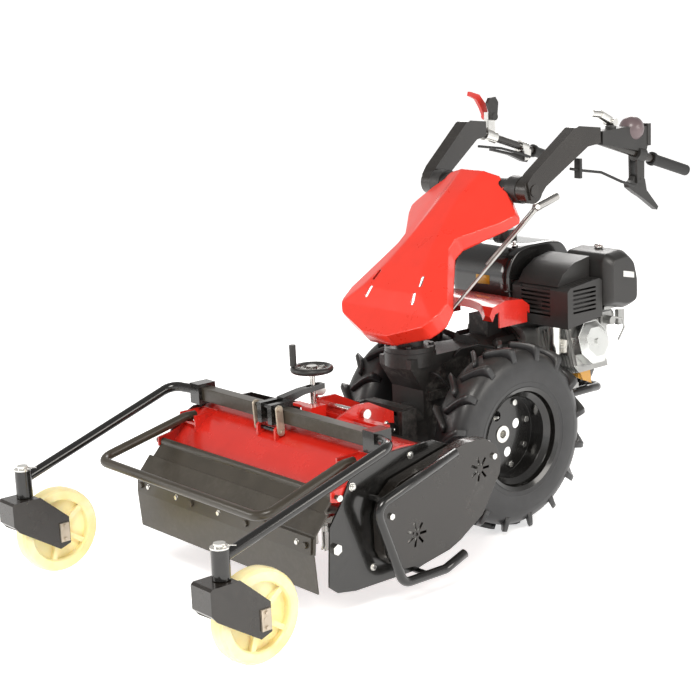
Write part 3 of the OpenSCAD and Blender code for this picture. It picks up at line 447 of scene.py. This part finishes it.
def rounded_poly(poly, r, seg=5):
    out = []
    n = len(poly)
    for i in range(n):
        p, q, s = (Vector(poly[(i + k) % n]) for k in (-1, 0, 1))
        a, b = (p - q), (s - q)
        rr = min(r, a.length * 0.45, b.length * 0.45)
        a.normalize()
        b.normalize()
        p0, p1 = q + a * rr, q + b * rr
        for k in range(seg + 1):
            t = k / seg
            out.append(tuple((1 - t) ** 2 * p0 + 2 * t * (1 - t) * q + t * t * p1))
    return out


def cut(o, build):
    """Cuts the closed shapes that build() makes out of a piece, for good."""
    bm = bmesh.new()
    build(bm)
    to_row(bm)
    bmesh.ops.recalc_face_normals(bm, faces=bm.faces)
    mesh = bpy.data.meshes.new("cutter")
    bm.to_mesh(mesh)
    bm.free()
    tool = bpy.data.objects.new("cutter", mesh)
    bpy.context.scene.collection.objects.link(tool)
    mod = o.modifiers.new("cut", "BOOLEAN")
    mod.object = tool
    mod.solver = "MANIFOLD"
    bpy.context.view_layer.update()
    done = bpy.data.meshes.new_from_object(o.evaluated_get(bpy.context.evaluated_depsgraph_get()))
    o.modifiers.clear()
    o.data = done
    bpy.data.objects.remove(tool)
    bpy.data.meshes.remove(mesh)
    for p in done.polygons:
        p.use_smooth = True
    return o


def paint(o, mat, where):
    """Gives the faces whose middle, in millimetres about the axle point, passes a test a material."""
    o.data.materials.append(mat)
    k = len(o.data.materials) - 1
    for p in o.data.polygons:
        c = p.center
        if where(c.x * 1000, (c.y - AXLE_Y) * 1000, c.z * 1000):
            p.material_index = k


def curve_at(points, t):
    """Smooth value through (position, value) points."""
    if t <= points[0][0]:
        return points[0][1]
    for i in range(len(points) - 1):
        if t <= points[i + 1][0]:
            break
    else:
        return points[-1][1]
    x0, y0 = points[i]
    x1, y1 = points[i + 1]

    def slope(k):
        if k == 0 or k == len(points) - 1:
            return 0.0
        a = (points[k][1] - points[k - 1][1]) / (points[k][0] - points[k - 1][0])
        b = (points[k + 1][1] - points[k][1]) / (points[k + 1][0] - points[k][0])
        return 0.0 if a * b <= 0 else 2 * a * b / (a + b)

    h = x1 - x0
    s = (t - x0) / h
    return ((2 * s**3 - 3 * s**2 + 1) * y0 + (s**3 - 2 * s**2 + s) * h * slope(i)
            + (-2 * s**3 + 3 * s**2) * y1 + (s**3 - s**2) * h * slope(i + 1))


# ---------------------------------------------------------------- tyres


def tyre(side):
    node = "tyre_left" if side > 0 else "tyre_right"
    cx = side * 204
    cz = 279.0
    bm = bmesh.new()
    prof = [(143, -51), (146, -57), (156, -61.5), (172, -64), (190, -65), (208, -64.6), (226, -61),
            (240, -55), (250, -46), (257, -35), (260, -20), (261, 0), (260, 20), (257, 35), (250, 46),
            (240, 55), (226, 61), (208, 64.6), (190, 65), (172, 64), (156, 61.5), (146, 57),
            (143, 51), (152, 47), (200, 50), (236, 36), (244, 0), (236, -36), (200, -50), (152, -47)]
    lathe(bm, prof, (cx, 0, cz), (1, 0, 0), 128, closed=True)
    for s in (-1, 1):  # raised rings on the sidewall
        for r0, x0 in ((168, 63.4), (214, 62.6)):
            lathe(bm, [(r0 - 2.4, s * x0), (r0, s * (x0 + 1.4)), (r0 + 2.4, s * (x0 - 0.4))],
                  (cx, 0, cz), (1, 0, 0), 128)
    for i in range(16):
        for s in (-1, 1):
            th = math.radians((i + (0.5 if s > 0 else 0)) * 22.5)
            rings = []
            steps = 12
            for k in range(steps + 1):
                u = k / steps
                x = -4 + 70 * u
                if u > 0.86:
                    x = -4 + 70 * 0.86 + (u - 0.86) * 22
                off = (x - 32.5) * math.tan(math.radians(40)) + 5 * math.sin(math.pi * u)
                top = 278.4 - 7.5 * max(0.0, (x - 30) / 34) ** 2 - (26 * max(0.0, (u - 0.86) / 0.14))
                low = curve_at([(0, 257), (25, 255), (40, 246), (50, 236), (58, 222), (66, 205)], x)
                half_top = 8.6 - 1.0 * u
                half_low = 13.0
                ring = []
                for rr, dy in ((low, -half_low), (top - 2.5, -half_top - 0.6), (top, -half_top + 1.6),
                               (top, half_top - 1.6), (top - 2.5, half_top + 0.6), (low, half_low)):
                    a = th - (off + dy) / 268.0
                    ring.append((cx + s * x, -math.sin(a) * rr, cz + math.cos(a) * rr))
                rings.append(ring)
            loft(bm, rings)
    piece(node + "_carcass", bm, M["tyre"], body_of(node), 0.0, replaces=(node,))


# ---------------------------------------------------------------- column cover


def line_at(points, t):
    """Straight-line value through (position, value) points."""
    for (x0, y0), (x1, y1) in zip(points, points[1:]):
        if t <= x1:
            return y0 + (y1 - y0) * max(0.0, t - x0) / (x1 - x0)
    return points[-1][1]


def cover():
    width = [(27, 50), (40, 84), (72, 173), (96, 193), (118, 206), (163, 206), (240, 158),
             (322, 108), (362, 106), (412, 150), (462, 195), (500, 218), (522, 204), (612, 101)]
    spine = [(27, -36), (102, -17), (159, 5), (241, 21), (335, 28), (439, 35), (523, 38), (620, 32)]
    low = [(27, -80), (115, -71), (200, -51), (327, -33), (420, -45), (512, -57), (620, -31)]
    arch = [(0, 46), (26, 41), (60, 26), (108, 11), (230, -29)]
    m = Matrix.Translation((0, -370, 620)) @ Matrix.Rotation(math.radians(40), 4, "X")
    bm = bmesh.new()
    rows = []
    for k in range(151):
        y = 27.5 + 584 * k / 150
        w = line_at(width, y) - 0.6
        sp = line_at(spine, y) - 0.6
        lo = line_at(low, y)
        half = []
        for j in range(41):
            x = w * j / 40
            d = line_at(arch, x) - sp
            z = line_at(arch, x) - (d + math.sqrt(d * d + 3)) / 2
            half.append((x, z))
        zx = half[-1][1]
        half.append((w + 0.5, zx - 2.5))
        for j in range(1, 9):
            half.append((w + 0.5, zx - 2.5 + (min(lo, zx - 4) - zx + 2.5) * j / 8))
        full = [(-x, z) for x, z in reversed(half)] + half[1:]
        rows.append([bm.verts.new(m @ Vector((x, y, z))) for x, z in full])
    for a, b in zip(rows, rows[1:]):
        for i in range(len(a) - 1):
            bm.faces.new((a[i], a[i + 1], b[i + 1], b[i]))
    bm.faces.new(rows[0])  # skirt across the lower end
    inner = [v for v in bm.verts if not v.is_boundary]
    for _ in range(2):
        bmesh.ops.smooth_vert(bm, verts=inner, factor=0.5, use_axis_x=True, use_axis_y=True,
                              use_axis_z=True)
    bmesh.ops.recalc_face_normals(bm, faces=bm.faces)
    o = piece("column_cover_shell", bm, M["red_plastic"], body_of("column_cover"),
              replaces=("column_cover",))
    sol = o.modifiers.new("wall", "SOLIDIFY")
    sol.thickness = 0.0032
    sol.offset = -1

    def holes(b):
        lathe(b, [(0, -134), (30.5, -134), (30.5, 134), (0, 134)], (0, 98, 986), (1, 0, 0), 64)
        for s in (-1, 1):
            lathe(b, [(0, 0), (42, 0), (42, 98), (0, 98)], (s * 132, 109, 986), (s, 0, 0), 64)
            for y in (146, 200):
                c = Matrix.Translation((s * 96, y, 0)) @ Matrix.Rotation(math.radians(s * 14), 4, "Z")
                out = rounded_poly([(-6, -18), (6, -18), (6, 18), (-6, 18)], 6)
                loft(b, [[m @ c @ Vector((px, py, z)) for px, py in out] for z in (-75, 70)])

    cut(o, holes)


# ---------------------------------------------------------------- bent tubes


def tubes():
    def tube(name, node, mat, runs, extra=None):
        bm = bmesh.new()
        for points, r, bend in runs:
            sweep(bm, points, r, bend)
        if extra:
            extra(bm)
        piece(name, bm, M[mat], body_of(node), replaces=(node,))

    tube("bumper_tube", "bumper", "olive_paint", [([(-355, -713, 388), (-357, -750, 388),
         (-377, -1031, 316), (377, -1031, 316), (357, -750, 388), (355, -713, 388)], 13, 40)])
    x = 460.0
    runs = [([(x, -452, 377), (x, -736, 290), (x, -650, 66), (x, -500, 66), (x, -428, 92)], 13, 34),
            ([(-x + 36, -700, 130), (-x + 36, -650, 66), (-x + 36, -500, 66), (-x + 36, -428, 92)],
             13, 34)]
    for y, z in ((-702, 300.4), (-560, 66)):
        runs.append(([(x - 59, y, z), (x - 4, y, z)], 8, 0))
    for y in (-600, -540):
        runs.append(([(-x + 40, y, 66), (-400.6, y, 66)], 8, 0))
    tube("skid_tube", "skid_guard", "black_paint", runs)

    def tabs(bm):
        for s in (-1, 1):
            for y in (190, 350):
                block(bm, (s * 124 - 8, y, 328), (s * 124 + 8, y + 24, 339.6))

    tube("rear_guard_tube", "rear_guard_bar", "black_paint", [([(-124, 178, 324), (-124, 440, 324),
         (-110, 512, 316), (110, 512, 316), (124, 440, 324), (124, 178, 324)], 13, 40)], tabs)
    tube("control_cable_runs", "control_cables", "rubber", [
        ([(73, -84, 512), (84, -70, 534), (104, -20, 540), (112, 50, 520), (112, 92, 504)], 4, 18),
        ([(-74, -97, 505), (-92, -86, 496), (-100, -60, 460), (-98, -34, 410), (-84, -32, 388)],
         4, 18),
        ([(73, -178, 482), (96, -172, 476), (104, -150, 450), (98, -80, 396), (86, -62, 386)], 4, 18),
    ])


# ---------------------------------------------------------------- engine covers


def tank():
    prof = rounded_poly([(172, 634), (166, 654), (166, 720), (184, 760), (214, 785), (262, 795.6),
                         (370, 795.6), (420, 784), (446, 752), (452, 700), (452, 652), (436, 634)],
                        26, 4)
    c = Vector((310, 712))
    rings = []
    for x, k in ((-195.5, 0.90), (-193, 0.945), (-187, 0.975), (-178, 0.993), (-166, 1.0), (18, 1.0),
                 (30, 0.993), (39, 0.975), (45, 0.945), (47.5, 0.90)):
        rings.append([(x, c.x + (p[0] - c.x) * k, max(634.5, c.y + (p[1] - c.y) * k)) for p in prof])
    bm = bmesh.new()
    loft(bm, rings)
    piece("tank_shell", bm, M["gloss_black"], body_of("fuel_tank"), 1.5, 2, 40,
          replaces=("fuel_tank",))
    seam = bmesh.new()
    low = [p for p in rounded_poly([(168, 660), (450, 660), (450, 664), (168, 664)], 1.5)]
    slab(seam, low, -196, 48)
    piece("tank_seam", seam, M["black_paint"], body_of("fuel_tank"))
    lab = bmesh.new()
    y = 165.2
    slab(lab, rounded_poly([(-84, 676), (-26, 678), (-26, 706), (-84, 704)], 3), y, y + 1.2, "front")
    piece("tank_label", lab, M["yellow_label"], body_of("fuel_tank"))
    tap = bmesh.new()
    lathe(tap, [(0, 0), (11, 0), (11, 5), (6, 7), (6, 14), (0, 15)], (14, 236, 791), (0, 0, 1), 24)
    slab(tap, rounded_poly([(-4, 226), (-8, 214), (-2, 208), (8, 214), (12, 226)], 4), 797, 802, "top")
    piece("tank_vent", tap, M["zinc"], body_of("fuel_tank"), 0.6)


def air_cleaner():
    prof = rounded_poly([(338, 620), (338, 754), (352, 775), (420, 783), (458, 754), (476, 690),
                         (476, 612), (430, 601), (380, 612)], 16, 4)
    c = Vector((408, 690))
    rings = []
    for x, k in ((120.5, 0.94), (123, 0.975), (128, 0.995), (134, 1.0), (268, 1.0), (276, 0.99),
                 (290, 0.90), (300, 0.82), (303.6, 0.76)):
        rings.append([(x, c.x + (p[0] - c.x) * k, c.y + (p[1] - c.y) * k) for p in prof])
    bm = bmesh.new()
    loft(bm, rings)
    piece("air_cleaner_cover", bm, M["black_plastic"], body_of("air_cleaner"), 1.2, 2, 40,
          replaces=("air_cleaner",))
    base = bmesh.new()
    slab(base, rounded_poly([(350, 606), (462, 606), (462, 616), (350, 616)], 3), 140, 270)
    lathe(base, [(0, 0), (4, 0), (4, 22), (0, 22)], (196, 470, 596), (1, 0, 0), 16)
    piece("air_cleaner_base", base, M["cast_alloy"], body_of("air_cleaner"), 1.0)
    nut = bmesh.new()
    disc(nut, (205, 400, 782), (0, 0, 1), 12, 6)
    slab(nut, rounded_poly([(-18, 0), (-14, 8), (14, 8), (18, 0), (10, -2), (-10, -2)], 2), 398, 402,
         "front")
    bmesh.ops.translate(nut, verts=[v for v in nut.verts if v.co.z < 20], vec=(205, 0, 784))
    piece("air_cleaner_nut", nut, M["zinc"], body_of("air_cleaner"), 0.5)
    lab = bmesh.new()
    slab(lab, rounded_poly([(398, 704), (446, 694), (446, 712), (398, 722)], 2), 303.0, 303.9)
    piece("air_cleaner_label", lab, M["white_label"], body_of("air_cleaner"))


# ---------------------------------------------------------------- small fittings


def fittings():
    bm = bmesh.new()
    for x in (-340, -200, 200, 340, 0):
        hex_bolt(bm, (x, -897.5, 214), (0, -1, 0), 7, 4.5)
    for s in (-1, 1):
        disc(bm, (s * 408, -809, 323), (s, 0, 0), 9, 4)
    piece("guard_fixings", bm, M["zinc"], body_of("guard_flap"), 0.3)

    bm = bmesh.new()
    for s in (-1, 1):
        for x in (331.5, 378.5):
            hex_bolt(bm, (s * x, -728, 380), (0, 0, 1), 4.5)
        hex_bolt(bm, (s * 400.5, -760, 340), (s, 0, 0), 9, stud=4)
        hex_bolt(bm, (s * 400.5, -560, 380), (s, 0, 0), 8)
        hex_bolt(bm, (s * 400.5, -700, 110), (s, 0, 0), 8)
        for z in (328, 366):
            hex_bolt(bm, (s * 78.5, -360, z), (s, 0, 0), 7)
    for a in range(4):
        t = math.radians(45 + 90 * a)
        hex_bolt(bm, (66.5, -351 + 46 * math.cos(t), 305 + 46 * math.sin(t)), (1, 0, 0), 5)
    piece("housing_fixings", bm, M["zinc"], body_of("mower_housing"), 0.3)


def build_custom():
    for s in (-1, 1):
        tyre(s)
    cover()
    tubes()
    tank()
    air_cleaner()
    fittings()


def paint_details():
    o = bpy.data.objects["handwheel_skin"]
    paint(o, M["zinc"], lambda x, y, z: math.hypot(x + 30, y + 533) < 43 and z < 553
          and math.hypot(x + 60, y + 575) > 12)
    o = bpy.data.objects["height_arm_skin"]
    paint(o, M["warm_grey"], lambda x, y, z: x < -75 or x > 17)
    for s, n in ((1, "fork_left"), (-1, "fork_right")):
        o = bpy.data.objects[n + "_skin"]
        paint(o, M["zinc"], lambda x, y, z: z > 311.5)
        paint(o, M["warm_grey"], lambda x, y, z: abs(x) - 466 > 40.1 or abs(x) - 466 < -40.1)
    o = bpy.data.objects["lever_mounts_skin"]
    paint(o, M["zinc"], lambda x, y, z: x < 0)
    paint(o, M["mauve"], lambda x, y, z: x > 0 and math.dist((x, y, z), (240.8, 510, 1130)) < 38.5
          and math.dist((x, y, z), (240.8, 510, 1130)) > 37)
    o = bpy.data.objects["hitch_lever_skin"]
    paint(o, M["white_label"], lambda x, y, z: math.dist((x, y, z), (-62, -480, 464)) < 15.6)


SKINS = {
    "gearbox_housing": ("cast_black", 0.003),
    "bell_housing": ("cast_black", 0.002),
    "engine_block": ("cast_alloy", 0.0012),
    "valve_cover": ("bright_alloy", 0.003),
    "muffler_guard": ("black_plastic", 0.0015),
    "exhaust_pipe": ("zinc", 0.001),
    "recoil_cover": ("black_paint", 0.002),
    "carburettor": ("cast_alloy", 0.0015),
    "oil_plug": ("amber", 0.002),
    "engine_shroud": ("red_paint", 0.002),
    "hitch_coupler": ("cast_black", 0.002),
    "mower_housing": ("red_paint", 0.0012),
    "side_plates": ("black_paint", 0.0015),
    "mower_gearbox": ("cast_black", 0.003),
    "belt_cover": ("brown_black", 0.002),
    "drive_belt": ("rubber", 0.0008),
    "frame_bolts": ("zinc", 0.0006),
    "rim_left": ("black_paint", 0.001),
    "rim_right": ("black_paint", 0.001),
    "axle_left": ("zinc", 0.0008),
    "axle_right": ("zinc", 0.0008),
    "crankshaft": ("steel", 0),
    "fuel_cap": ("black_plastic", 0.002),
    "starter_grip": ("black_plastic", 0.002),
    "rotor_shaft": ("steel", 0.0008),
    "flails": ("steel", 0.0006),
    "cross_shaft": ("steel", 0.0006),
    "pto_shaft": ("steel", 0),
    "front_guard": ("olive_paint", 0.0008),
    "guard_flap": ("olive_paint", 0.0008),
    "square_bar": ("olive_paint", 0.002),
    "height_arm": ("black_paint", 0.002),
    "caster_arms": ("black_paint", 0.001),
    "fork_left": ("brown_black", 0.0015),
    "fork_right": ("brown_black", 0.0015),
    "caster_wheel_left": ("nylon", 0.002),
    "caster_wheel_right": ("nylon", 0.002),
    "handwheel": ("black_plastic", 0.0008),
    "hitch_lever": ("zinc", 0.0008),
    "column_post": ("cast_black", 0.002),
    "handle_bracket": ("cast_black", 0.003),
    "shift_rod": ("steel", 0),
    "handle_arms": ("brown_black", 0.0025),
    "grips": ("rubber", 0.002),
    "lever_mounts": ("black_plastic", 0.002),
    "throttle_lever": ("zinc", 0.002),
    "clutch_lever": ("black_plastic", 0.002),
    "brake_lever": ("black_plastic", 0.0015),
    "red_lever": ("clear_red", 0.002),
    "black_lever": ("black_plastic", 0.002),
    "handle_cables": ("rubber", 0),
}


def skin_all():
    for node, (mat, width) in SKINS.items():
        if width:
            skin(node, M[mat], width)
        else:
            skin(node, M[mat], 0.0004, 1)


build_custom()
skin_all()
paint_details()

# ---------------------------------------------------------------- stage, light, camera


def stage_floor():
    m, nodes, links, bsdf = new_material("floor")
    coords = nodes.new("ShaderNodeTexCoord")
    n = noise(nodes, links, coords, 1.2, 2.0)
    col = ramp(nodes, links, n.outputs["Fac"], [(0.3, (0.93, 0.93, 0.925)), (0.7, (0.96, 0.96, 0.955))])
    links.new(col.outputs["Color"], bsdf.inputs["Base Color"])
    bsdf.inputs["Roughness"].default_value = 0.6
    bsdf.inputs["Emission Color"].default_value = (1.0, 1.0, 1.0, 1)
    bsdf.inputs["Emission Strength"].default_value = 0.62
    mesh = bpy.data.meshes.new("floor")
    s = 400.0
    mesh.from_pydata([(-s, -s, 0), (s, -s, 0), (s, s, 0), (-s, s, 0)], [], [(0, 1, 2, 3)])
    mesh.materials.append(m)
    o = bpy.data.objects.new("floor", mesh)
    bpy.context.scene.collection.objects.link(o)


def area(name, at, target, size, power, color):
    d = bpy.data.lights.new(name, "AREA")
    d.shape = "RECTANGLE"
    d.size, d.size_y = size
    d.energy = power
    d.color = color
    o = bpy.data.objects.new(name, d)
    bpy.context.scene.collection.objects.link(o)
    o.location = at
    o.rotation_euler = (Vector(target) - Vector(at)).to_track_quat("-Z", "Y").to_euler()
    return o


def lights():
    w = bpy.data.worlds.new("studio")
    bpy.context.scene.world = w
    w.use_nodes = True
    nodes, links = w.node_tree.nodes, w.node_tree.links
    coords = nodes.new("ShaderNodeTexCoord")
    sep = nodes.new("ShaderNodeSeparateXYZ")
    links.new(coords.outputs["Generated"], sep.inputs["Vector"])
    sky = ramp(nodes, links, sep.outputs["Z"], [(0.0, (1.4, 1.4, 1.39)), (0.14, (1.1, 1.09, 1.07)),
                                                (0.42, (0.42, 0.41, 0.4)), (1.0, (0.36, 0.36, 0.36))])
    links.new(sky.outputs["Color"], nodes["Background"].inputs[0])
    nodes["Background"].inputs[1].default_value = 1.0
    area("key", (2.6, -2.6, 4.2), (0, 0, 0.4), (2.2, 1.6), 150, (1.0, 0.97, 0.92))
    area("fill", (4.6, 1.6, 2.2), (0, 0, 0.5), (2.0, 2.0), 70, (1.0, 0.96, 0.9))
    area("front", (-2.8, -4.2, 2.4), (0, -0.4, 0.4), (2.0, 1.6), 70, (1.0, 0.97, 0.94))
    area("back", (-2.5, 3.6, 3.2), (0, 0, 0.5), (2.4, 2.0), 90, (1.0, 0.98, 0.96))
    bpy.context.scene.view_settings.view_transform = "Standard"
    bpy.context.scene.view_settings.exposure = 0.0


def camera():
    az, el, roll = (math.radians(v) for v in (50.401, 12.507, -2.388))
    back = Vector((math.sin(az) * math.cos(el), -math.cos(az) * math.cos(el), math.sin(el)))
    fwd = -back
    right = fwd.cross(Vector((0, 0, 1))).normalized()
    up = right.cross(fwd)
    r = right * math.cos(roll) + up * math.sin(roll)
    u = -right * math.sin(roll) + up * math.cos(roll)
    d = bpy.data.cameras.new("photo")
    d.sensor_width = 36
    d.lens = 1640.0 / 700.0 * 36
    d.clip_end = 1200
    o = bpy.data.objects.new("photo", d)
    bpy.context.scene.collection.objects.link(o)
    o.matrix_world = Matrix((
        (r.x, u.x, back.x, 3.478),
        (r.y, u.y, back.y, AXLE_Y - 3.294),
        (r.z, u.z, back.z, 1.58),
        (0, 0, 0, 1),
    ))
    bpy.context.scene.camera = o


stage_floor()
lights()
camera()
